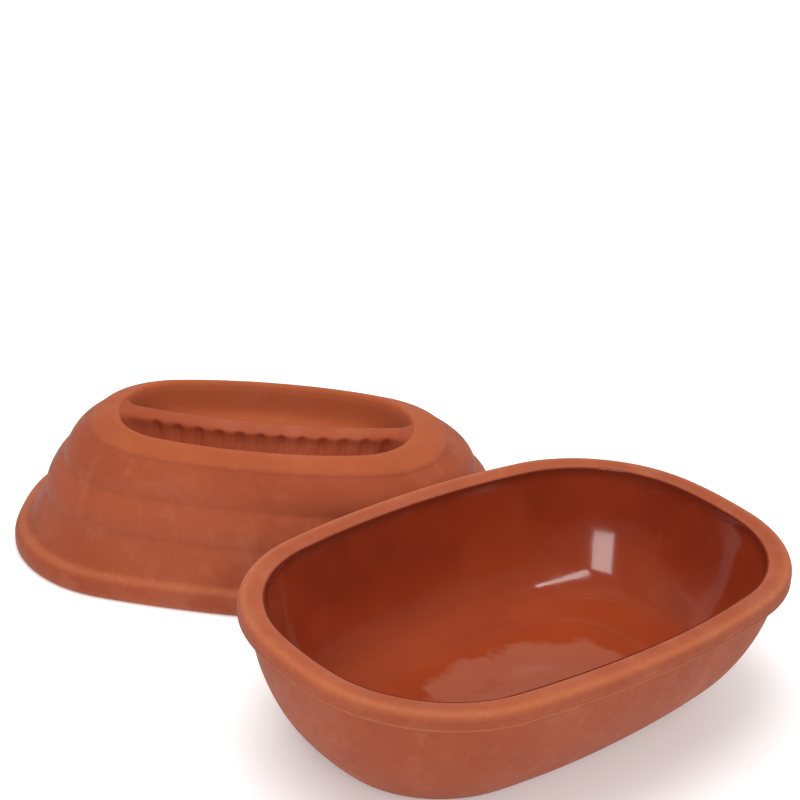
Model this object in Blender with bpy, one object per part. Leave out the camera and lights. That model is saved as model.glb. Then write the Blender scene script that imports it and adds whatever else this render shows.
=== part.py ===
"""Two-piece oval clay baker: an open dish with a fused glaze coat inside, and
its loose lid standing on its rim beside it.

Metres, +Z up. The origin is the centre of the dish's flat foot, on the table.
+X runs along the lid's grip bar; the dish's long axis is turned DISH_YAW from it.
"""

import math

import bpy

MM = 0.001

# ---------------------------------------------------------------- dimensions
SIDES = 60                 # points round every ring, a multiple of 4

# Rim outline, seen from above: an oval of three arcs in each quadrant.
RIM_HALF_LENGTH = 180.0
RIM_HALF_WIDTH = 119.0
RIM_SIDE_RADIUS = 605.0
RIM_END_RADIUS = 240.0
RIM_CORNER_RADIUS = 98.0

# Dish
DISH_YAW = math.radians(43.8)
DISH_HEIGHT = 96.0
RIM_WIDTH = 15.7           # clay rim, from its outer edge to the inner edge
RIM_FACE = 10.3            # height of the rim bead's outer face
RIM_STEP = 5.8             # the bead stands out this far over the wall
WALL_DRAFT = 18.2          # how far the wall leans in from bead to foot
BILGE_HEIGHT = 70.8        # where the wall starts to curve under
BILGE_WIDTH = 40.1         # how far the curve carries it in
WALL = 9.6                 # clay thickness of the wall
FLOOR_EDGE_Z = 15.2        # the floor where the wall's fillet ends
FLOOR_EDGE_INSET = (47.5, 49.5)
POOL_EDGE_Z = 11.6         # where the sloping floor drops into the well
POOL_HALF = (104.0, 58.0)
POOL_DROP = 2.0
GLAZE_TOP = 2.4            # the glaze stops this far under the rim's top

# Glaze coat
GLAZE_GAP = 0.3
GLAZE_THICKNESS = 0.6

# Lid
LID_PLACE = (-183.2, 184.3)   # the centre of the recess round the grip bar
LID_INSET = 6.0            # the lid's rim is this much narrower a side than the dish's
LID_SHIFT = (0.4, 11.6)    # each end of the lid's rim lies this much further out
LID_WALL = 8.5
LIP_HALF_LENGTH = 103.5
LIP_HALF_WIDTH = 56.4
LIP_SIDE_RADIUS = 294.0
LIP_END_RADIUS = 62.0
LIP_CORNER_RADIUS = 42.0
LIP_HEIGHT = 95.0
BAND_HEIGHT = 15.9         # the upright band round the lid's rim
LEDGES = ((0.298, 40.3), (0.472, 65.0), (0.722, 86.8))   # (share, height) of each notch
BULGES = (1.5, 1.7)        # how far the band between two notches stands out
RECESS_FLOOR = 70.0
RECESS_DRAFT = 6.0

# Grip bar across the recess
BAR_TOP_END = 93.6
BAR_TOP_MIDDLE = 86.7
BAR_WIDTH = 19.0
BAR_BASE_WIDTH = 21.0
FLUTE_PITCH = 14.9
FLUTE_DEPTH = 2.2
FLUTE_FIRST = -77.0
FLUTE_COUNT = 12


# ---------------------------------------------------------------- clean start
for old in list(bpy.data.objects):
    bpy.data.objects.remove(old, do_unlink=True)


# ---------------------------------------------------------------- outlines
class Oval:
    """A two-fold symmetric oval of an end arc, a corner arc and a side arc."""

    def __init__(self, half_length, half_width, r_side, r_end, r_corner):
        side = (0.0, half_width - r_side)
        end = (half_length - r_end, 0.0)
        # the corner arc's centre lies where it touches both its neighbours
        ds, de = r_side - r_corner, r_end - r_corner
        dx, dy = end[0] - side[0], end[1] - side[1]
        d = math.hypot(dx, dy)
        along = (ds * ds - de * de + d * d) / (2 * d)
        across = math.sqrt(ds * ds - along * along)
        mid = (side[0] + along * dx / d, side[1] + along * dy / d)
        corner = max(
            (
                (mid[0] + k * across * dy / d, mid[1] - k * across * dx / d)
                for k in (1, -1)
            ),
            key=lambda c: c[0] + c[1],
        )
        a_end = math.atan2(corner[1] - end[1], corner[0] - end[0])
        a_side = math.atan2(corner[1] - side[1], corner[0] - side[0])
        self.arcs = (
            (end, r_end, 0.0, a_end),
            (corner, r_corner, a_end, a_side),
            (side, r_side, a_side, math.pi / 2),
        )

    def point(self, angle, inset=0.0):
        """The point whose outward normal has this angle, moved in by inset."""
        c, s = math.cos(angle), math.sin(angle)
        q = math.atan2(abs(s), abs(c))
        for centre, radius, _, stop in self.arcs:
            if q <= stop + 1e-9:
                break
        r = radius - inset
        x = (centre[0] + r * math.cos(q)) * (1 if c >= 0 else -1)
        y = (centre[1] + r * math.sin(q)) * (1 if s >= 0 else -1)
        if abs(c) < 1e-9:
            x = 0.0
        if abs(s) < 1e-9:
            y = 0.0
        return x, y

    def angles(self, count):
        """Normal angles of points evenly spaced round the oval."""
        lengths = [r * (b - a) for _, r, a, b in self.arcs]
        total, quarter = sum(lengths), []
        for k in range(count // 4):
            left = total * k / (count // 4)
            for (_, r, a, b), part in zip(self.arcs, lengths):
                if left <= part:
                    quarter.append(a + left / r)
                    break
                left -= part
        half = quarter + [math.pi / 2] + [math.pi - q for q in quarter[:0:-1]]
        return half + [a + math.pi for a in half]


RIM = Oval(RIM_HALF_LENGTH, RIM_HALF_WIDTH, RIM_SIDE_RADIUS, RIM_END_RADIUS,
           RIM_CORNER_RADIUS)
LIP = Oval(LIP_HALF_LENGTH, LIP_HALF_WIDTH, LIP_SIDE_RADIUS, LIP_END_RADIUS,
           LIP_CORNER_RADIUS)
ANGLES = RIM.angles(SIDES)


def offset_ring(oval, inset, z):
    """A ring parallel to the oval, inset all round."""
    return [(*oval.point(a, inset), z) for a in ANGLES]


def scaled_ring(inset_0, inset_x, inset_y, z):
    """The rim oval at inset_0, squeezed so that its two half-lengths end up at
    inset_x and inset_y."""
    kx = (RIM_HALF_LENGTH - inset_x) / (RIM_HALF_LENGTH - inset_0)
    ky = (RIM_HALF_WIDTH - inset_y) / (RIM_HALF_WIDTH - inset_0)
    return [(x * kx, y * ky, z) for x, y, _ in offset_ring(RIM, inset_0, z)]


# ---------------------------------------------------------------- mesh helpers
def loft(name, rings, colour, roughness, place=(0.0, 0.0), yaw=0.0):
    """A closed body through the rings, first to last, with flat end caps."""
    n = len(rings[0])
    verts = [(x * MM, y * MM, z * MM) for ring in rings for x, y, z in ring]
    faces = [tuple(range(n))[::-1]]
    for k in range(len(rings) - 1):
        a, b = k * n, (k + 1) * n
        for i in range(n):
            j = (i + 1) % n
            faces.append((a + i, a + j, b + j, b + i))
    last = (len(rings) - 1) * n
    faces.append(tuple(range(last, last + n)))
    mesh = bpy.data.meshes.new(name)
    mesh.from_pydata(verts, [], faces)
    mesh.validate()
    mesh.shade_smooth()
    mesh.set_sharp_from_angle(angle=math.radians(40))
    body = bpy.data.objects.new(name, mesh)
    bpy.context.collection.objects.link(body)
    body.location = (place[0] * MM, place[1] * MM, 0.0)
    body.rotation_euler = (0.0, 0.0, yaw)
    paint(body, colour, roughness)
    return body


def paint(body, colour, roughness):
    material = bpy.data.materials.new(body.name)
    material.use_nodes = True
    shader = material.node_tree.nodes["Principled BSDF"]
    shader.inputs["Base Color"].default_value = (*colour, 1.0)
    shader.inputs["Roughness"].default_value = roughness
    shader.inputs["Metallic"].default_value = 0.0
    body.data.materials.append(material)


def moved(profile, distance):
    """A profile of (inset, z) points moved sideways, to the left of its run."""
    out = []
    for k, (u, z) in enumerate(profile):
        u0, z0 = profile[max(k - 1, 0)]
        u1, z1 = profile[min(k + 1, len(profile) - 1)]
        du, dz = u1 - u0, z1 - z0
        length = math.hypot(du, dz)
        out.append((u - distance * dz / length, z + distance * du / length))
    return out


# ---------------------------------------------------------------- dish
def wall_inset(z):
    """How far the dish's outer wall is in from the rim's edge at a height."""
    top = DISH_HEIGHT - RIM_FACE
    lean = WALL_DRAFT * (1 - z / top)
    t = min(1.0, max(0.0, (BILGE_HEIGHT - z) / BILGE_HEIGHT))
    return RIM_STEP + lean + BILGE_WIDTH * (1 - math.sqrt(max(0.0, 1 - t * t)))


def bilge_heights(steps, lowest=0.0):
    turn = [math.pi / 2 * k / steps for k in range(steps + 1)]
    return [z for z in (BILGE_HEIGHT * (1 - math.sin(a)) for a in turn) if z >= lowest]


def dish_outside():
    """Rings from the foot up to the rim's top edge."""
    rings = [scaled_ring(RIM_STEP, wall_inset(z), wall_inset(z), z)
             for z in reversed(bilge_heights(8))]
    top = DISH_HEIGHT - RIM_FACE
    rings.append(scaled_ring(RIM_STEP, wall_inset(top), wall_inset(top), top))
    bead = ((4.6, top + 0.4), (1.4, top + 0.7), (0.3, top + 2.2), (0.0, top + 4.6),
            (0.7, DISH_HEIGHT - 2.2), (2.0, DISH_HEIGHT - 0.7), (4.0, DISH_HEIGHT))
    rings += [offset_ring(RIM, u, z) for u, z in bead]
    return rings


def dish_inside_profile():
    """(inset, z) down the inner wall, from the rim's inner edge to the fillet."""
    lowest = 24.0
    points = [(RIM_WIDTH - 2.6, DISH_HEIGHT), (RIM_WIDTH - 0.6, DISH_HEIGHT - 0.9),
              (RIM_WIDTH, DISH_HEIGHT - GLAZE_TOP)]
    z = DISH_HEIGHT - 12.0
    points.append((wall_inset(z) + WALL, z))
    points += [(wall_inset(z) + WALL, z) for z in bilge_heights(8, lowest)]
    return points


def dish_floor_profile():
    """(inset along, inset across, z) over the fillet, the floor and the well."""
    x0, y0 = FLOOR_EDGE_INSET
    px, py = RIM_HALF_LENGTH - POOL_HALF[0], RIM_HALF_WIDTH - POOL_HALF[1]
    well = POOL_EDGE_Z - POOL_DROP
    return [(x0 - 4.5, y0 - 4.5, FLOOR_EDGE_Z + 2.6), (x0, y0, FLOOR_EDGE_Z),
            (x0 + 6.0, y0 + 4.0, FLOOR_EDGE_Z - 0.9),
            (px, py, POOL_EDGE_Z), (px + 2.0, py + 2.0, well + 0.7),
            (px + 4.5, py + 4.5, well)]


def dish_inside(shift):
    """Inner rings from the rim's top to the well, shift mm inside the clay."""
    wall = dish_inside_profile()
    floor = dish_floor_profile()
    run_x = wall + [(x, z) for x, _, z in floor]
    run_y = wall + [(y, z) for _, y, z in floor]
    if shift:
        run_x, run_y = moved(run_x, shift), moved(run_y, shift)
    rings = []
    for (ux, zx), (uy, zy) in zip(run_x, run_y):
        z = (zx + zy) / 2
        if ux <= RIM_WIDTH + 0.01:
            rings.append(offset_ring(RIM, ux, z))
        else:
            rings.append(scaled_ring(RIM_WIDTH, ux, uy, z))
    return rings


dish = loft("dish", dish_outside() + dish_inside(0.0), (0.49, 0.135, 0.06), 0.75,
            yaw=DISH_YAW)

# The glaze coat: a thin skin over the inner wall and floor, open at the top.
# The two uppermost clay rings are the bare rim, so the coat starts on the third.
coat_back = dish_inside(GLAZE_GAP)[2:]
coat_front = dish_inside(GLAZE_GAP + GLAZE_THICKNESS)[2:]
glaze_lining = loft("glaze_lining", coat_back[::-1] + coat_front,
                    (0.22, 0.035, 0.014), 0.15, yaw=DISH_YAW)


# ---------------------------------------------------------------- lid
def blend_ring(share, z, inset=0.0):
    """Share 0 is the lid's rim oval and share 1 the recess's lip."""
    ring = []
    for a in ANGLES:
        x0, y0 = RIM.point(a, LID_INSET + inset)
        x1, y1 = LIP.point(a, inset)
        low, high = LID_SHIFT
        x0 += (high - low) / 2 + (high + low) / 2 * max(-1.0, min(1.0, x0 / 60.0))
        ring.append((x0 + share * (x1 - x0), y0 + share * (y1 - y0), z))
    return ring


def bulge(low, high, depth, steps):
    """(share, z) between two notches, standing out from the straight line."""
    span = RIM_HALF_LENGTH - LID_INSET - LIP_HALF_LENGTH
    out = []
    for k in range(1, steps):
        t = k / steps
        out.append((low[0] + t * (high[0] - low[0])
                    - depth / span * math.sin(math.pi * t ** 0.9),
                    low[1] + t * (high[1] - low[1])
                    + 0.35 * depth * math.sin(math.pi * t ** 0.9)))
    return out


def lid_outside():
    """(share, z) from the rim's foot up to the recess's lip."""
    a, b, c = LEDGES
    profile = [(0.022, 0.0), (0.004, 1.3), (0.0, 4.0), (0.0, 9.0), (0.022, 12.6),
               (0.060, 14.9), (0.117, BAND_HEIGHT), (0.170, 18.6), (0.225, 24.0),
               (0.270, 31.0), a]
    profile += bulge(a, b, BULGES[0], 5) + [b] + bulge(b, c, BULGES[1], 5) + [c]
    profile += [(0.750, 88.7), (0.800, 90.9), (0.860, 93.0), (0.920, 94.5),
                (0.965, 95.1), (1.0, LIP_HEIGHT)]
    return [blend_ring(s, z) for s, z in profile]


def lid_recess():
    """Rings down the recess's wall to its floor."""
    steps = ((1.2, LIP_HEIGHT - 1.6), (2.2, LIP_HEIGHT - 6.0),
             (RECESS_DRAFT, RECESS_FLOOR + 5.0), (RECESS_DRAFT + 2.2, RECESS_FLOOR + 1.4),
             (RECESS_DRAFT + 6.0, RECESS_FLOOR))
    return [offset_ring(LIP, u, z) for u, z in steps]


def lid_inside():
    """Rings from under the recess's floor out and down to the lid's foot."""
    under = RECESS_FLOOR - LID_WALL
    rings = [offset_ring(LIP, RECESS_DRAFT + 3.0, under),
             offset_ring(LIP, RECESS_DRAFT - 3.0, under + 1.2),
             offset_ring(LIP, RECESS_DRAFT - 7.0, under + 6.0),
             blend_ring(0.93, 78.0), blend_ring(0.885, 82.0), blend_ring(0.835, 80.5),
             blend_ring(0.740, 73.0), blend_ring(0.640, 64.5), blend_ring(0.540, 52.0),
             blend_ring(0.445, 39.0), blend_ring(0.350, 26.5), blend_ring(0.265, 17.0),
             blend_ring(0.185, 9.0), blend_ring(0.140, 3.0), blend_ring(0.130, 0.0)]
    return rings


shell = loft("lid", lid_inside() + lid_outside() + lid_recess(),
             (0.49, 0.135, 0.06), 0.75, place=LID_PLACE)


def grip_bar():
    """The fluted bar along the recess, sunk into its floor and end walls."""
    reach = LIP_HALF_LENGTH + 1.5
    end_draft = 0.28       # the bar's ends lean in with the recess's wall
    stations = 52
    verts, faces = [], []
    base_z = RECESS_FLOOR - 3.0
    for k in range(stations + 1):
        x = -reach + 2 * reach * k / stations
        t = abs(x) / reach
        top = BAR_TOP_MIDDLE + (BAR_TOP_END - BAR_TOP_MIDDLE) * t * t
        # flutes: a row of shallow vertical grooves in the front face
        groove = 0.0
        last = FLUTE_FIRST + FLUTE_PITCH * (FLUTE_COUNT - 1)
        if FLUTE_FIRST - 4 <= x <= last + 4:
            phase = (x - FLUTE_FIRST) / FLUTE_PITCH
            groove = FLUTE_DEPTH * (0.5 + 0.5 * math.cos(2 * math.pi * phase)) ** 2
        front = -BAR_WIDTH / 2
        back = BAR_WIDTH / 2
        wide = BAR_BASE_WIDTH / 2
        section = [(-wide, base_z), (-wide + groove * 0.5, RECESS_FLOOR + 3.0),
                   (front + groove, top - 4.0), (front + 1.4 + groove * 0.6, top - 1.1),
                   (front + 4.4, top), (back - 4.4, top), (back - 1.4, top - 1.1),
                   (back, top - 4.0), (wide, RECESS_FLOOR + 3.0), (wide, base_z)]
        verts += [(x * (1 - end_draft * (LIP_HEIGHT - z) / reach) * MM, y * MM, z * MM)
                  for y, z in section]
    n = 10
    faces.append(tuple(range(n)))
    for k in range(stations):
        a, b = k * n, (k + 1) * n
        for i in range(n):
            j = (i + 1) % n
            faces.append((a + j, a + i, b + i, b + j))
    faces.append(tuple(range(stations * n, stations * n + n))[::-1])
    mesh = bpy.data.meshes.new("grip_bar_guide")
    mesh.from_pydata(verts, [], faces)
    mesh.validate()
    bar = bpy.data.objects.new("grip_bar_guide", mesh)
    bpy.context.collection.objects.link(bar)
    bar.location = (LID_PLACE[0] * MM, LID_PLACE[1] * MM, 0.0)
    bar.hide_render = True
    bar.display_type = "WIRE"
    return bar


join = shell.modifiers.new("grip bar", "BOOLEAN")
join.operation = "UNION"
join.object = grip_bar()
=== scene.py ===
"""Looks for the oval clay baker: the open dish, its glaze and the loose lid beside it.

Lengths are in millimetres in the shape code and become metres in the meshes.
"""

import math

import bpy
import numpy as np
from mathutils import Matrix, Vector, noise


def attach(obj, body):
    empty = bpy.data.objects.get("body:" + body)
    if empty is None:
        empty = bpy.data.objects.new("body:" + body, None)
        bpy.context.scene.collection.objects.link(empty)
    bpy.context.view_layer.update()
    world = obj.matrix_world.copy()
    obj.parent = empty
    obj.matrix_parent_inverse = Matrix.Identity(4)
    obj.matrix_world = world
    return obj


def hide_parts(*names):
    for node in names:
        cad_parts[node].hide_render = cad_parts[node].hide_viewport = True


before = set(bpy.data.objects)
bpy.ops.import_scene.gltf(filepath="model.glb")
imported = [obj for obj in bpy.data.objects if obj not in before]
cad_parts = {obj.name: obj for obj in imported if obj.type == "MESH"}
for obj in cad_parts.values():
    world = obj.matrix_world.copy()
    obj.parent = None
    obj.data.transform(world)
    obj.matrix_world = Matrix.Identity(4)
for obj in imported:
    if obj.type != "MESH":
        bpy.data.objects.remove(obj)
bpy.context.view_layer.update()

# ------------------------------------------------------------------ layout
DISH_YAW = math.radians(43.8)
LID_PLACE = (-183.2, 184.3)
AROUND = 336               # points round every ring, a multiple of 4


# ------------------------------------------------------------------ ovals
class Oval:
    """A two-fold symmetric oval of an end arc, a corner arc and a side arc."""

    def __init__(self, half_length, half_width, r_side, r_end, r_corner):
        side = (0.0, half_width - r_side)
        end = (half_length - r_end, 0.0)
        ds, de = r_side - r_corner, r_end - r_corner
        dx, dy = end[0] - side[0], end[1] - side[1]
        d = math.hypot(dx, dy)
        along = (ds * ds - de * de + d * d) / (2 * d)
        across = math.sqrt(ds * ds - along * along)
        mid = (side[0] + along * dx / d, side[1] + along * dy / d)
        corner = max(
            ((mid[0] + k * across * dy / d, mid[1] - k * across * dx / d) for k in (1, -1)),
            key=lambda c: c[0] + c[1],
        )
        a_end = math.atan2(corner[1] - end[1], corner[0] - end[0])
        a_side = math.atan2(corner[1] - side[1], corner[0] - side[0])
        self.arcs = (
            (end, r_end, 0.0, a_end),
            (corner, r_corner, a_end, a_side),
            (side, r_side, a_side, math.pi / 2),
        )
        self.a, self.b = half_length, half_width

    def points(self, angles, inset=0.0):
        """Points whose outward normals have these angles, moved in by inset."""
        c, s = np.cos(angles), np.sin(angles)
        q = np.arctan2(np.abs(s), np.abs(c))
        x, y = np.zeros_like(q), np.zeros_like(q)
        inset = np.broadcast_to(inset, q.shape)
        for centre, radius, start, stop in self.arcs:
            here = (q >= start - 1e-9) & (q <= stop + 1e-9)
            x[here] = centre[0] + (radius - inset[here]) * np.cos(q[here])
            y[here] = centre[1] + (radius - inset[here]) * np.sin(q[here])
        return np.stack([x * np.sign(c), y * np.sign(s)], -1)

    def angles(self, count):
        """Normal angles of points evenly spaced round the oval."""
        lengths = [r * (b - a) for _, r, a, b in self.arcs]
        total, quarter = sum(lengths), []
        for k in range(count // 4):
            left = total * (k + 0.5) / (count // 4)
            for (_, r, a, b), part in zip(self.arcs, lengths):
                if left <= part:
                    quarter.append(a + left / r)
                    break
                left -= part
        q = np.array(quarter)
        half = np.concatenate([q, math.pi - q[::-1]])
        return np.concatenate([half, half + math.pi])


RIM = Oval(180.0, 119.0, 605.0, 240.0, 98.0)
LIP = Oval(103.5, 56.4, 294.0, 62.0, 42.0)
ANG = RIM.angles(AROUND)


# ------------------------------------------------------------------ profiles
def smooth_profile(points, sigma, count, keep_ends=True, sharpen=1.0):
    """Rounds a polyline of (u, z, ...) rows over about sigma mm and returns count
    rows, closer together where it bends. sigma may be a number or one per row."""
    points = np.array(points, float)
    steps = np.linalg.norm(np.diff(points[:, :2], axis=0), axis=1)
    run = np.concatenate([[0], np.cumsum(steps)])
    fine = np.arange(0, run[-1] + 0.1, 0.2)
    fine[-1] = run[-1]
    rows = np.stack([np.interp(fine, run, points[:, k]) for k in range(points.shape[1])], -1)
    sig = np.interp(fine, run, np.full(len(run), sigma) if np.isscalar(sigma) else sigma)
    if keep_ends:
        sig = np.minimum(sig, np.minimum(fine, run[-1] - fine) / 2.5 + 1e-3)
    out = np.empty_like(rows)
    for i, s in enumerate(fine):
        w = np.exp(-0.5 * ((fine - s) / max(sig[i], 1e-3)) ** 2)
        out[i] = (w[:, None] * rows).sum(0) / w.sum()
    d = np.diff(out[:, :2], axis=0)
    length = np.linalg.norm(d, axis=1)
    turn = np.unwrap(np.arctan2(d[:, 1], d[:, 0]))
    bend = np.abs(np.diff(turn, prepend=turn[0]))
    cost = np.concatenate([[0], np.cumsum(length / 3.2 + bend / math.radians(9) * sharpen)])
    at = np.interp(np.linspace(0, cost[-1], count), cost, np.arange(len(out)))
    return np.stack([np.interp(at, np.arange(len(out)), out[:, k]) for k in range(out.shape[1])], -1)


def smoothstep(a, b, x):
    t = np.clip((np.asarray(x, float) - a) / (b - a), 0, 1)
    return t * t * (3 - 2 * t)


# ------------------------------------------------------------------ meshes
def warp(p, seed, amount=1.0):
    """A gentle unevenness of hand-finished clay, in mm, fading out at the foot."""
    out = np.empty_like(p)
    shift = Vector((seed * 17.3, seed * 5.1, seed * 9.7))
    for i, v in enumerate(p):
        q = Vector(v)
        big = noise.noise_vector(q / 85.0 + shift)
        small = noise.noise_vector(q / 24.0 + shift)
        lift = min(1.0, max(0.0, v[2] / 12.0))
        out[i] = (big.x * 0.55 + small.x * 0.10, big.y * 0.55 + small.y * 0.10,
                  (big.z * 0.40 + small.z * 0.08) * lift)
    return p + amount * out


def solid(name, rings, fields=None, first="flat", last="flat", place=(0, 0), yaw=0.0,
          seed=1, amount=1.0, parts=()):
    """A closed mesh through rings of points. Each end is a flat cap, or runs
    together into one point. fields holds a value per ring point for the shader.
    parts are more (rings, fields, first, last) bodies of the same piece."""
    verts, faces, values = [], [], {}
    base = 0
    for rings_k, fields_k, first_k, last_k in ((rings, fields, first, last), *parts):
        k_count, n = len(rings_k), len(rings_k[0])
        rings_k = np.asarray(rings_k, float)
        verts.append(rings_k.reshape(-1, 3))
        for key in ("wear_and_shading", "warm_light", "floor_reflection"):
            v = (fields_k or {}).get(key)
            v = np.zeros((k_count, n)) if v is None else np.broadcast_to(v, (k_count, n))
            values.setdefault(key, []).append(v.reshape(-1))
        idx = base + np.arange(k_count * n).reshape(k_count, n)
        a, b = idx[:-1], idx[1:]
        quads = np.stack([a, np.roll(a, -1, 1), np.roll(b, -1, 1), b], -1).reshape(-1, 4)
        faces += quads.tolist()
        base += k_count * n
        for end, ring, flip in ((first_k, idx[0], True), (last_k, idx[-1], False)):
            loop = ring.tolist()
            if end == "flat":
                faces.append(loop[::-1] if flip else loop)
            elif end == "fan":
                centre = rings_k[0 if flip else -1].mean(0)
                verts.append(centre[None])
                for key in values:
                    src = values[key][-1]
                    values[key].append(np.array([src[0] if flip else src[-1]]))
                for i in range(n):
                    j = (i + 1) % n
                    faces.append([loop[j], loop[i], base] if flip else [loop[i], loop[j], base])
                base += 1
    p = np.concatenate(verts)
    if amount:
        p = warp(p, seed, amount)
    mesh = bpy.data.meshes.new(name)
    mesh.from_pydata((p * 0.001).tolist(), [], faces)
    for key, chunks in values.items():
        layer = mesh.attributes.new(key, "FLOAT", "POINT")
        layer.data.foreach_set("value", np.concatenate(chunks).astype(np.float32))
    mesh.update()
    mesh.shade_smooth()
    piece = bpy.data.objects.new(name, mesh)
    bpy.context.scene.collection.objects.link(piece)
    turn = Matrix.Translation((place[0] * 0.001, place[1] * 0.001, 0)) @ Matrix.Rotation(yaw, 4, "Z")
    mesh.transform(turn)
    return piece


def rings_from(plan, profile):
    """plan(row) -> (N, 2) for each profile row, whose second value is the height."""
    out = []
    for row in profile:
        xy = plan(row)
        out.append(np.column_stack([xy, np.full(len(xy), row[1])]))
    return np.array(out)


# ------------------------------------------------------------------ dish
DISH_H, BEAD_H, STEP = 96.0, 10.3, 5.8
TOP = DISH_H - BEAD_H


def wall_inset(z):
    z = np.asarray(z, float)
    t = np.clip((70.8 - z) / 70.8, 0, 1)
    return STEP + 18.2 * (1 - z / TOP) + 40.1 * (1 - np.sqrt(np.maximum(0, 1 - t * t)))


def squeezed(inset_0, inset_x, inset_y):
    kx = (RIM.a - inset_x) / (RIM.a - inset_0)
    ky = (RIM.b - inset_y) / (RIM.b - inset_0)
    return RIM.points(ANG, inset_0) * (kx, ky)


def dish_body():
    # outside wall: dense near the foot's tight curve
    heights = 70.8 * (1 - np.sin(np.linspace(math.pi / 2, 0.0, 26)))
    heights = np.concatenate([heights, np.linspace(72.5, TOP, 7)[1:]])
    outer = np.array([np.column_stack([squeezed(STEP, wall_inset(z), wall_inset(z)),
                                       np.full(AROUND, z)]) for z in heights])
    # third column: real scuffs on the rim top and its edges, plus painted highlight lines along the rim's outer crown
    # and the thin ledge under the bead
    bead = [(5.75, TOP, 0.0), (5.3, TOP + 0.15, 0.1), (2.2, TOP + 0.25, 0.5), (0.55, TOP + 0.35, 1.0),
            (0.15, TOP + 1.05, 1.0), (0.75, TOP + 1.7, 0.3), (0.75, TOP + 2.6, 0.0),
            (0.15, TOP + 4.6, 0.0), (0.35, TOP + 6.6, 0.1),
            (1.35, DISH_H - 1.7, 0.35), (2.9, DISH_H - 0.45, 1.0), (5.0, DISH_H, 0.45),
            (8.5, DISH_H - 0.05, 0.15), (12.2, DISH_H - 0.25, 0.2), (14.4, DISH_H - 0.8, 0.5),
            (15.2, DISH_H - 1.7, 0.3), (15.45, DISH_H - 3.0, 0.0), (15.5, DISH_H - 6.5, 0.0)]
    rows = smooth_profile(bead, [0.05, 0.25, 0.25, 0.22, 0.22, 0.25, 0.5, 0.9, 0.9, 0.9, 0.9, 0.9,
                                 0.9, 0.8, 0.7, 0.5, 0.5, 0.1], 46, sharpen=0.8)
    bead_rings = rings_from(lambda r: RIM.points(ANG, r[0]), rows)
    inner_z = [85.0, 70.0, 55.0, 42.0, 32.0, 25.0]
    inner = np.array([np.column_stack([squeezed(15.7, wall_inset(z) + 9.5, wall_inset(z) + 9.5),
                                       np.full(AROUND, z)]) for z in inner_z])
    floor = np.array([np.column_stack([squeezed(15.7, x, y), np.full(AROUND, z)])
                      for x, y, z in ((43.0, 45.0, 17.8), (47.5, 49.5, 14.6), (74.0, 59.0, 10.9),
                                      (82.0, 68.0, 8.9))])
    rings = np.concatenate([outer, bead_rings, inner, floor])
    wear_and_shading = np.concatenate([np.full(len(outer), 0.0), rows[:, 2], np.zeros(len(inner) + len(floor))])
    # painted light: the outer wall is painted lighter and oranger towards the foot as floor bounce light, and a painted
    # orange highlight runs along the rim's outer crown
    warm_light = np.concatenate([smoothstep(60, 0, heights) * 0.5, np.exp(-((rows[:, 0] - 3.4) / 2.4) ** 2)
                           * (rows[:, 1] > DISH_H - 4.0),
                           np.zeros(len(inner) + len(floor))])
    return rings, {"wear_and_shading": wear_and_shading[:, None], "warm_light": warm_light[:, None]}


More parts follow.
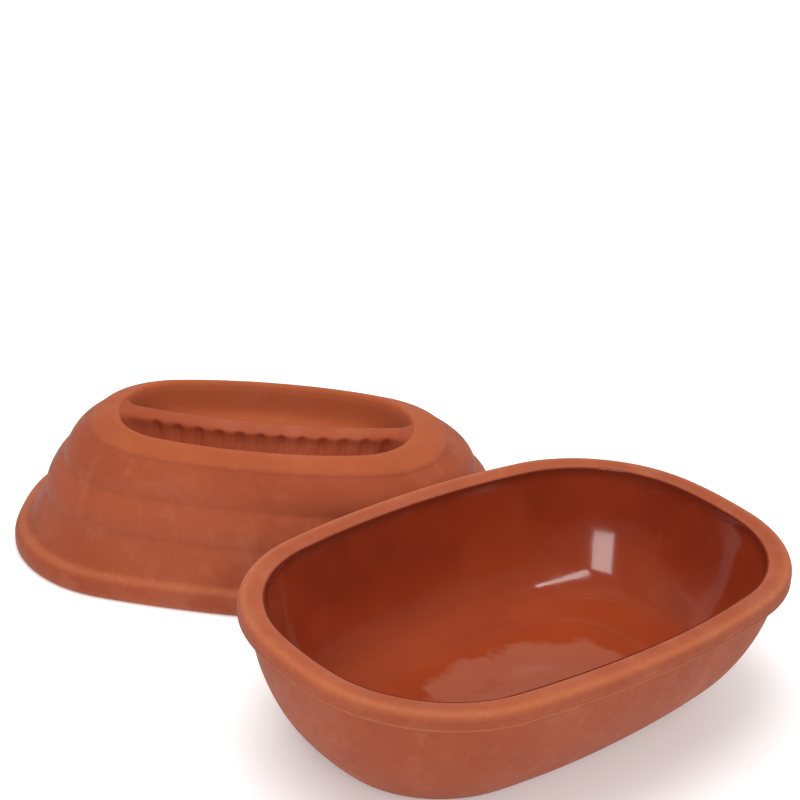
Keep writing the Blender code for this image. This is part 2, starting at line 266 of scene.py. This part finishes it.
def glaze_body():
    front = [(15.75, 15.75, 94.75, 1.0), (16.1, 16.1, 94.1, 1.0), (16.25, 16.25, 92.8, 0.6)]
    front += [(max(wall_inset(z) + 10.5, 16.3), max(wall_inset(z) + 10.5, 16.3), z, 0.0)
              for z in np.linspace(90.0, 30.0, 22)]
    x_fit = [(39.6, 40.4, 24.0), (41.9, 43.6, 20.9), (44.2, 47.0, 18.4), (47.6, 50.3, 16.5),
             (49.2, 51.6, 16.15), (50.4, 52.7, 15.35), (62.0, 58.0, 13.2),
             (75.0, 61.0, 11.5), (77.2, 63.0, 10.9), (79.0, 64.6, 9.95), (83.0, 68.0, 9.7)]
    front += [(x, y, z, 0.0) for x, y, z in x_fit]
    rows = np.array(front)
    # (mean inset, z) is what the rounding measures lengths by
    table = np.column_stack([(rows[:, 0] + rows[:, 1]) / 2, rows[:, 2], rows[:, 0], rows[:, 1], rows[:, 3]])
    sigma = np.interp(rows[:, 2], [9.0, 11.6, 13.0, 15.0, 16.6, 19.0, 26.0, 40.0, 80.0, 92.0, 94.75],
                      [1.0, 0.9, 1.2, 0.45, 0.5, 1.6, 3.0, 4.0, 3.0, 0.6, 0.3])
    rows = smooth_profile(table, sigma, 92, sharpen=1.2)
    skin = np.array([np.column_stack([squeezed(15.7, r[2], r[3]), np.full(AROUND, r[1])]) for r in rows])
    well = []
    for k in np.linspace(0.86, 0.05, 16):
        ring = skin[-1].copy()
        ring[:, :2] *= k
        ring[:, 2] = 9.7 - 0.25 * (1 - k)
        well.append(ring)
    front_rings = np.concatenate([skin, well])
    # the top edge: the glaze stops along a slightly uneven line
    wave = np.array([noise.noise(Vector((math.cos(a) * 4.0, math.sin(a) * 4.0, 3.0))) for a in ANG])
    back = front_rings[::6].copy()
    back[:, :, 2] -= 0.45
    centre = back[:, :, :2]
    length = np.linalg.norm(centre, axis=2, keepdims=True)
    back[:, :, :2] = centre * (1 + 0.45 / np.maximum(length, 20.0))
    edge = front_rings[:1].copy()
    edge[:, :, :2] = RIM.points(ANG, 14.9)[None]
    edge[:, :, 2] -= 0.5
    for r, share in ((edge, 1.0), (front_rings[:1], 1.0), (front_rings[1:2], 0.6), (back[:1], 1.0)):
        r[:, :, 2] += wave * 0.35 * share
    rings = np.concatenate([back[::-1], edge, front_rings])
    # painted shade: darker towards the glaze's top edge; lighter towards the floor, partly a thinner glaze and partly
    # painted light
    top_shade = np.concatenate([np.zeros(len(back)), [1.0],
                           smoothstep(87.0, 94.0, skin[:, :, 2].mean(1)), np.zeros(len(well))])
    floor_light = np.concatenate([np.zeros(len(back)), [0.0],
                           smoothstep(60.0, 16.0, skin[:, :, 2].mean(1)), np.ones(len(well))])
    inner = np.concatenate([np.zeros(len(back) + 1), np.zeros(len(skin)), np.ones(len(well))])
    # painted reflection: floor_reflection marks where a soft bright reflection lies on the well's floor, stronger
    # towards one side
    turn = np.cos(ANG - math.radians(-50.0))[None, :]
    reach = np.linalg.norm(rings[:, :, :2] / (82.0, 46.0), axis=2)
    floor_reflection = np.clip(smoothstep(1.25, 0.75, reach) * (0.72 + 0.30 * turn * np.minimum(reach, 1.0)), 0.0, 1.0)
    floor_reflection = floor_reflection * np.maximum(inner[:, None], (rings[:, :, 2] < 11.0))
    return rings, {"wear_and_shading": top_shade[:, None], "warm_light": floor_light[:, None], "floor_reflection": floor_reflection}


rings, fields = dish_body()
dish = solid("clay_dish", rings, fields, place=(0, 0), yaw=DISH_YAW, seed=2)
rings, fields = glaze_body()
glaze = solid("glaze_coat", rings, fields, first="fan", last="fan", yaw=DISH_YAW, seed=2)

# ------------------------------------------------------------------ lid
SPAN = 62.0                # mm of plan for one unit of share


def blend(share, inset=0.0):
    share = np.asarray(share)
    if share.ndim:
        share = share[:, None]
    rim, lip = RIM.points(ANG, 6.0 + inset).copy(), LIP.points(ANG, inset)
    rim[:, 0] += 5.6 + 6.0 * np.tanh(rim[:, 0] / 45.0)
    out = rim + share * (lip - rim)
    fuller = np.interp(share, [0.0, 0.47, 0.72, 1.0], [0.0, 2.8, 2.5, 0.0])
    out[:, 0] += fuller * np.clip(np.cos(ANG), 0.0, 1.0)
    return out


def band_bulge(low, high, depth, steps=14, lean=0.8):
    out = []
    run, rise = (high[0] - low[0]) * SPAN, high[1] - low[1]
    size = math.hypot(run, rise)
    for k in range(1, steps):
        t = k / steps
        h = depth * math.sin(math.pi * t ** lean)
        out.append((low[0] + t * (high[0] - low[0]) - h * rise / size / SPAN,
                    low[1] + t * (high[1] - low[1]) + h * run / size))
    return out


def lid_outer():
    a, b, c = (0.311, 39.9), (0.486, 64.5), (0.735, 86.6)
    pts = [(0.030, 0.0), (0.012, 0.35), (0.003, 1.6), (0.0, 4.5), (0.0, 8.4), (0.004, 9.2), (0.005, 10.0),
           (0.012, 11.7), (0.035, 13.9), (0.075, 15.2), (0.122, 16.0), (0.158, 19.2), (0.198, 24.4),
           (0.240, 29.9), (0.273, 35.2), a]
    pts += band_bulge(a, b, 3.0) + [b] + band_bulge(b, c, 3.0) + [c]
    pts += [(0.742, 88.3), (0.770, 89.5), (0.82, 91.1), (0.88, 92.8), (0.94, 94.25), (0.968, 94.75)]
    table = np.array([(s * SPAN, z, s) for s, z in pts])
    sigma = np.full(len(pts), 1.5)
    sigma[:4] = 0.5
    sigma[4:8] = 0.7
    for k, (s, z) in enumerate(pts):
        if (s, z) == a:
            sigma[k] = 0.7
        if (s, z) in (b, c):
            sigma[k] = 0.9
    rows = smooth_profile(table, sigma, 108)
    # real rubbed wear at the foot and the lip; along the band's crest also a painted highlight line
    wear_and_shading = np.exp(-((rows[:, 1] - 15.0) / 1.6) ** 2) * 0.8 + np.exp(-((rows[:, 1] - 2.0) / 1.5) ** 2) * 0.4
    wear_and_shading += smoothstep(93.6, 94.6, rows[:, 1]) * 0.15
    # painted light: the top land and lip are painted lighter and oranger, as lit from above
    warm_light = smoothstep(86.5, 89.5, rows[:, 1])
    rings = np.array([np.column_stack([blend(r[2]), np.full(AROUND, r[1])]) for r in rows])
    return rings, wear_and_shading, warm_light


def lid_recess():
    """From the land over the lip and down the recess's wall. The lip is crisper
    at the front than at the back."""
    sets = []
    for roll in (0.0, 1.0):
        pts = [(-1.0 - 0.3 * roll, 95.05), (0.3, 94.75 - 0.35 * roll), (1.1 + 0.6 * roll, 93.7 - 0.9 * roll),
               (1.7 + 0.8 * roll, 91.9 - 1.2 * roll), (2.4 + 0.6 * roll, 88.0), (3.7 + 0.3 * roll, 81.5),
               (5.0, 76.5), (6.6, 73.0), (9.4, 70.7), (13.0, 70.0)]
        sets.append(smooth_profile(pts, [0.3, 0.5 + roll, 0.6 + 1.4 * roll, 0.9 + 1.6 * roll,
                                         1.6, 2.0, 2.0, 1.8, 1.6, 0.5], 40))
    back = smoothstep(-0.35, 0.75, np.sin(ANG))[:, None]
    rings = []
    for front_row, back_row in zip(*sets):
        u = front_row[0] + back[:, 0] * (back_row[0] - front_row[0])
        z = front_row[1] + back[:, 0] * (back_row[1] - front_row[1])
        rings.append(np.column_stack([LIP.points(ANG, u), z]))
    floor = []
    for k in np.linspace(0.9, 0.08, 8):
        ring = rings[-1].copy()
        ring[:, :2] *= k
        floor.append(ring)
    return np.array(rings + floor), np.zeros(len(rings) + len(floor))


def lid_under():
    rows = [(9.0, 61.5), (5.0, 61.8), (2.0, 63.2), (-0.8, 67.5)]
    rings = [np.column_stack([LIP.points(ANG, u), np.full(AROUND, z)]) for u, z in rows]
    pts = [(0.955, 73.5), (0.930, 78.0), (0.905, 80.8), (0.885, 81.8), (0.860, 81.6), (0.835, 80.3),
           (0.740, 73.0), (0.640, 64.5), (0.540, 52.0), (0.445, 39.0), (0.350, 26.5), (0.265, 17.0),
           (0.185, 9.0), (0.150, 4.2), (0.138, 1.6), (0.125, 0.3), (0.108, 0.0)]
    table = np.array([(s * SPAN, z, s) for s, z in pts])
    low = smooth_profile(table, [1.0] * 13 + [0.8, 0.5, 0.4, 0.1], 40)
    rings += [np.column_stack([blend(r[2]), np.full(AROUND, r[1])]) for r in low]
    return np.array(rings)


def bar_rings():
    """The fluted grip bar, its sides flaring into the recess's floor and ends."""
    reach, stations = 104.0, 330
    x = np.linspace(-reach, reach, stations + 1)
    t = np.abs(x) / reach
    top = 86.7 + 6.9 * t ** 2
    first, pitch, count = -77.0, 14.9, 12
    last = first + pitch * (count - 1)
    phase = (x - first) / pitch
    inside = smoothstep(first - 6, first - 4, x) * smoothstep(last + 6, last + 4, x)
    groove = (0.5 + 0.5 * np.cos(2 * math.pi * phase)) ** 2.2 * inside
    rings = []
    # how far the bar's sides have spread towards the end walls of the recess
    def spread(z, r=9.0):
        wall = 101.8 - 0.25 * (95.0 - z)
        d = np.clip(np.abs(x) - (wall - r), 0, r)
        return r - np.sqrt(np.maximum(r * r - d * d, 0.0))
    def front(z_rel, base, depth):
        z = top + z_rel
        return -(base + spread(z)) + depth * groove, z
    # going round the section: up the front, over the top, down the back
    fr = [(-26.0, 19.0, 0.5), (-19.4, 18.2, 0.6), (-18.3, 15.2, 1.0), (-16.6, 13.1, 1.6), (-14.2, 11.9, 2.1),
          (-11.5, 10.4, 2.6), (-9.0, 9.5, 2.9), (-7.0, 9.1, 3.0), (-5.4, 9.0, 2.9), (-4.0, 9.1, 2.5),
          (-2.8, 9.1, 1.8), (-1.9, 8.8, 1.1), (-1.1, 8.1, 0.6), (-0.5, 7.0, 0.25), (-0.05, 5.2, 0.0),
          (0.1, 2.5, 0.0), (0.15, 0.0, 0.0)]
    section = [front(*f) for f in fr]
    bk = [(0.1, 2.8), (-0.05, 5.2), (-0.4, 6.7), (-1.0, 7.9), (-1.9, 8.8), (-3.2, 9.3), (-5.5, 9.5),
          (-9.0, 9.9), (-13.0, 10.8), (-16.2, 12.4), (-18.3, 15.0), (-19.4, 18.2), (-26.0, 19.0)]
    section += [((b + spread(top + z)), top + z) for z, b in bk]
    ys = np.array([s[0] for s in section])
    zs = np.array([s[1] for s in section])
    floor = 70.0
    for k in range(len(section)):
        if k in (0, len(section) - 1):
            zs[k] = floor - 3.0
        elif k in (1, len(section) - 2):
            zs[k] = floor - 0.25
        else:
            # keep each row between floor and top in the same share of the height
            share = (zs[k] - top) / -18.2
            zs[k] = top - np.clip(share, -0.1, 1.0) * (top - floor - 0.3)
    xs = x[None, :] * (1 - 0.22 * (94.0 - zs) / reach)
    pts = np.stack([xs, ys, zs], -1)          # (section, station, 3)
    return np.transpose(pts, (1, 0, 2))       # rings along x


outer, wear_and_shading_o, warm_light_o = lid_outer()
recess, wear_and_shading_r = lid_recess()
under = lid_under()
rings = np.concatenate([under, outer, recess])
wear_and_shading = np.concatenate([np.zeros(len(under)), wear_and_shading_o, wear_and_shading_r])
# painted light: the recess is painted lighter and oranger, and the bar a little
warm_light = np.concatenate([np.zeros(len(under)), warm_light_o, np.full(len(wear_and_shading_r), 1.3)])
bar = bar_rings()[::-1]
lid = solid("clay_lid", rings, {"wear_and_shading": wear_and_shading[:, None], "warm_light": warm_light[:, None]}, place=LID_PLACE,
            seed=5, parts=((bar, {"wear_and_shading": 0.0, "warm_light": 0.15}, "flat", "flat"),))


# ------------------------------------------------------------------ materials
class Graph:
    """Short-hand for building a material's nodes."""

    def __init__(self, name):
        self.material = bpy.data.materials.new(name)
        self.material.use_nodes = True
        self.tree = self.material.node_tree
        self.shader = self.tree.nodes["Principled BSDF"]
        self.place = self.add("ShaderNodeTexCoord").outputs["Object"]

    def add(self, kind, **values):
        node = self.tree.nodes.new(kind)
        for key, value in values.items():
            setattr(node, key, value)
        return node

    def put(self, socket, value):
        if isinstance(value, bpy.types.NodeSocket):
            self.tree.links.new(value, socket)
        else:
            socket.default_value = value

    def noise(self, scale, detail=4.0, rough=0.55, stretch=(1, 1, 1), distortion=0.0, shift=(0, 0, 0)):
        mapping = self.add("ShaderNodeMapping")
        self.put(mapping.inputs["Vector"], self.place)
        mapping.inputs["Scale"].default_value = stretch
        mapping.inputs["Location"].default_value = shift
        node = self.add("ShaderNodeTexNoise")
        self.put(node.inputs["Vector"], mapping.outputs[0])
        node.inputs["Scale"].default_value = scale
        node.inputs["Detail"].default_value = detail
        node.inputs["Roughness"].default_value = rough
        node.inputs["Distortion"].default_value = distortion
        return node.outputs["Fac"]

    def attribute(self, name):
        return self.add("ShaderNodeAttribute", attribute_name=name).outputs["Fac"]

    def math(self, operation, a, b=0.0, clamp=False):
        node = self.add("ShaderNodeMath", operation=operation, use_clamp=clamp)
        self.put(node.inputs[0], a)
        self.put(node.inputs[1], b)
        return node.outputs[0]

    def ramp(self, value, low, high, to_low=0.0, to_high=1.0):
        node = self.add("ShaderNodeMapRange", clamp=True, interpolation_type="SMOOTHSTEP")
        self.put(node.inputs["Value"], value)
        node.inputs["From Min"].default_value = low
        node.inputs["From Max"].default_value = high
        node.inputs["To Min"].default_value = to_low
        node.inputs["To Max"].default_value = to_high
        return node.outputs[0]

    def mix(self, share, a, b, blend="MIX"):
        node = self.add("ShaderNodeMix", data_type="RGBA", blend_type=blend)
        self.put(node.inputs["Factor"], share)
        self.put(node.inputs[6], (*a, 1.0) if isinstance(a, tuple) else a)
        self.put(node.inputs[7], (*b, 1.0) if isinstance(b, tuple) else b)
        return node.outputs[2]

    def bump(self, height, strength, distance, normal=None):
        node = self.add("ShaderNodeBump")
        node.inputs["Strength"].default_value = strength
        node.inputs["Distance"].default_value = distance
        self.put(node.inputs["Height"], height)
        if normal is not None:
            self.put(node.inputs["Normal"], normal)
        return node.outputs[0]


def terracotta(name, base, dark, light, dust):
    g = Graph(name)
    blotch = g.noise(14.0, 3.0, 0.5, distortion=0.4)
    cloud = g.noise(42.0, 4.0, 0.6, stretch=(1, 1, 0.7), distortion=0.3)
    mottle = g.noise(160.0, 3.0, 0.6)
    grain = g.noise(900.0, 2.0, 0.6)
    colour = g.mix(g.ramp(blotch, 0.36, 0.66), dark, base)
    colour = g.mix(g.ramp(cloud, 0.50, 0.72, 0.0, 0.55), colour, light)
    colour = g.mix(g.ramp(mottle, 0.30, 0.75, 0.0, 0.22), colour, dark)
    colour = g.mix(g.ramp(grain, 0.55, 0.85, 0.0, 0.18), colour, light)
    # painted light: lighter, oranger colour on the lid's top land and recess, the rim's outer crown (painted highlight)
    # and the dish's lower wall (painted floor bounce light)
    warm_light = g.attribute("warm_light")
    colour = g.mix(g.math("MULTIPLY", warm_light, 0.5), colour, (0.41, 0.096, 0.030))
    # pale dust rubbed along the edges and in loose patches; the same edges are also lifted to a lighter orange, partly
    # real wear and partly painted highlight lines along the rim crown, the ledge under the bead and the lid's band
    # crest
    wear_and_shading = g.attribute("wear_and_shading")
    fleck = g.ramp(g.noise(330.0, 3.0, 0.65), 0.50, 0.72)
    patch = g.ramp(g.noise(32.0, 2.0, 0.5, shift=(3, 1, 2)), 0.42, 0.66)
    rub = g.math("MULTIPLY", g.math("MULTIPLY", wear_and_shading, fleck), g.ramp(patch, 0.0, 1.0, 0.25, 1.0))
    bloom_and_reflection = g.math("MULTIPLY", g.ramp(g.noise(24.0, 4.0, 0.6, stretch=(1, 1, 1), distortion=0.2,
                                             shift=(5, 2, 1)), 0.50, 0.80), 0.10)
    colour = g.mix(g.math("MULTIPLY", wear_and_shading, 0.45, clamp=True), colour, (0.50, 0.165, 0.072))
    colour = g.mix(g.math("ADD", g.math("MULTIPLY", rub, 0.32), bloom_and_reflection, clamp=True), colour, dust)
    g.put(g.shader.inputs["Base Color"], colour)
    g.put(g.shader.inputs["Roughness"], g.ramp(mottle, 0.3, 0.7, 0.72, 0.88))
    g.shader.inputs["Specular IOR Level"].default_value = 0.30
    g.shader.inputs["Sheen Weight"].default_value = 0.08
    g.shader.inputs["Sheen Roughness"].default_value = 0.45
    g.shader.inputs["Sheen Tint"].default_value = (0.86, 0.72, 0.66, 1.0)
    normal = g.bump(grain, 0.35, 0.00022)
    normal = g.bump(mottle, 0.30, 0.0005, normal)
    pits = g.ramp(g.noise(330.0, 1.0, 0.5, shift=(2, 7, 4)), 0.20, 0.34)
    normal = g.bump(pits, 0.22, 0.0005, normal)
    g.put(g.shader.inputs["Normal"], normal)
    return g.material


clay = terracotta("terracotta", (0.345, 0.073, 0.029), (0.296, 0.056, 0.020),
                  (0.385, 0.102, 0.046), (0.54, 0.28, 0.19))


def glaze_material():
    g = Graph("red_glaze")
    blotch = g.noise(14.0, 2.0, 0.5, distortion=0.1)
    streak = g.noise(60.0, 3.0, 0.55, stretch=(1, 1, 0.5), distortion=0.1)
    speck = g.noise(420.0, 2.0, 0.6)
    colour = g.mix(g.ramp(blotch, 0.35, 0.68), (0.232, 0.028, 0.010), (0.300, 0.040, 0.013))
    colour = g.mix(g.ramp(streak, 0.45, 0.80, 0.0, 0.28), colour, (0.335, 0.052, 0.016))
    # painted light: lighter red towards the floor; painted shade: darker towards the top edge
    colour = g.mix(g.math("MULTIPLY", g.attribute("warm_light"), 0.45), colour, (0.365, 0.061, 0.017))
    colour = g.mix(g.math("MULTIPLY", g.attribute("wear_and_shading"), 0.9), colour, (0.155, 0.020, 0.009))
    colour = g.mix(g.ramp(speck, 0.62, 0.80, 0.0, 0.25), colour, (0.170, 0.022, 0.008))
    g.put(g.shader.inputs["Base Color"], colour)
    # painted reflection: the well's floor is painted paler, with a ragged edge, where a soft bright reflection lies
    ragged = g.math("ADD", g.attribute("floor_reflection"), g.ramp(g.noise(46.0, 3.0, 0.5, shift=(4, 4, 0)), 0.3, 0.7, -0.16, 0.16))
    bloom_and_reflection = g.ramp(ragged, 0.34, 0.60)
    colour = g.mix(g.math("MULTIPLY", bloom_and_reflection, 0.50), colour, (0.40, 0.140, 0.090))
    g.put(g.shader.inputs["Base Color"], colour)
    g.put(g.shader.inputs["Roughness"], g.ramp(streak, 0.3, 0.7, 0.10, 0.16))
    g.shader.inputs["Specular IOR Level"].default_value = 0.5
    g.shader.inputs["IOR"].default_value = 1.5
    g.shader.inputs["Coat Weight"].default_value = 0.35
    g.shader.inputs["Coat Roughness"].default_value = 0.04
    ripple = g.noise(38.0, 2.0, 0.5, shift=(1, 3, 5))
    orange_peel = g.noise(260.0, 2.0, 0.5)
    normal = g.bump(ripple, 0.25, 0.0008)
    normal = g.bump(orange_peel, 0.10, 0.00015, normal)
    g.put(g.shader.inputs["Normal"], normal)
    return g.material


glossy = glaze_material()
for piece in (dish, lid):
    piece.data.materials.append(clay)
glaze.data.materials.append(glossy)

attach(dish, "dish")
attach(glaze, "dish")
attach(lid, "lid")
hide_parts("dish")
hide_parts("glaze_lining")
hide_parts("lid")


# ------------------------------------------------------------------ stage
def stage_floor():
    bpy.ops.mesh.primitive_plane_add(size=14.0, location=(0, 2.0, -0.0004))
    floor = bpy.context.object
    floor.name = "floor"
    g = Graph("pale_floor")
    g.shader.inputs["Base Color"].default_value = (0.88, 0.88, 0.885, 1.0)
    g.shader.inputs["Emission Color"].default_value = (1.0, 1.0, 1.0, 1.0)
    g.shader.inputs["Emission Strength"].default_value = 0.22
    g.shader.inputs["Roughness"].default_value = 0.9
    g.shader.inputs["Specular IOR Level"].default_value = 0.1
    floor.data.materials.append(g.material)


stage_floor()


def area_light(name, place, target, size, power, colour=(1, 1, 1), spread=180.0, mirrored=False, lit=True):
    data = bpy.data.lights.new(name, "AREA")
    data.shape = "RECTANGLE"
    data.size, data.size_y = size
    data.energy = power
    data.color = colour
    data.spread = math.radians(spread)
    light = bpy.data.objects.new(name, data)
    bpy.context.scene.collection.objects.link(light)
    light.location = place
    light.visible_glossy = mirrored
    light.visible_diffuse = lit
    way = Vector(target) - Vector(place)
    light.rotation_euler = way.to_track_quat("-Z", "Y").to_euler()
    return light


area_light("overhead", (-0.25, 0.15, 1.9), (0.0, 0.05, 0.0), (1.9, 1.5), 32.0, (1.0, 0.985, 0.96))
area_light("front", (0.25, -2.35, 1.5), (0.0, 0.0, 0.05), (1.1, 1.1), 24.0, (1.0, 0.99, 0.97))
area_light("back_panel", (0.15, 2.3, 0.62), (0.1, 0.0, 0.05), (2.2, 0.75), 16.0)
# panels that only show in the glaze
area_light("front_box", (-0.13, -1.59, 1.04), (0.055, 0.132, 0.04), (0.66, 1.02), 10.5, mirrored=True, lit=False)
area_light("right_box", (0.90, -0.73, 1.62), (0.035, 0.120, 0.02), (1.6, 0.18), 5.5, mirrored=True, lit=False)
area_light("left_box", (-1.9, 0.10, 0.90), (0.114, 0.086, 0.03), (1.3, 1.2), 0.6, mirrored=True, lit=False)

world = bpy.data.worlds.new("studio")
world.use_nodes = True
world.node_tree.nodes["Background"].inputs[0].default_value = (1.0, 1.0, 1.0, 1.0)
world.node_tree.nodes["Background"].inputs[1].default_value = 0.42
tree = world.node_tree
paths = tree.nodes.new("ShaderNodeLightPath")
dim = tree.nodes.new("ShaderNodeMath")
dim.operation = "MULTIPLY_ADD"
dim.inputs[1].default_value = -0.33
dim.inputs[2].default_value = 0.42
tree.links.new(paths.outputs["Is Glossy Ray"], dim.inputs[0])
tree.links.new(dim.outputs[0], tree.nodes["Background"].inputs[1])
bpy.context.scene.world = world
bpy.context.scene.view_settings.view_transform = "Standard"

# ------------------------------------------------------------------ camera
PITCH, ROLL = 0.429, -0.064
heading = Vector((-0.0495, 0.99877, 0.0))
right = Vector((0.99877, 0.0495, 0.0))
forward = heading * math.cos(PITCH) - Vector((0, 0, 1)) * math.sin(PITCH)
up = heading * math.sin(PITCH) + Vector((0, 0, 1)) * math.cos(PITCH)
c, s = math.cos(ROLL), math.sin(ROLL)
right_r, up_r = right * c - up * s, right * s + up * c
pose = Matrix((right_r, up_r, -forward)).transposed().to_4x4()
pose.translation = Vector((-0.03331, -0.97589, 0.6477))
lens = bpy.data.cameras.new("camera")
lens.sensor_width = 36.0
lens.lens = 1846.0 / 800.0 * 36.0
lens.clip_start, lens.clip_end = 0.05, 50.0
camera = bpy.data.objects.new("camera", lens)
camera.matrix_world = pose
bpy.context.scene.collection.objects.link(camera)
bpy.context.scene.camera = camera
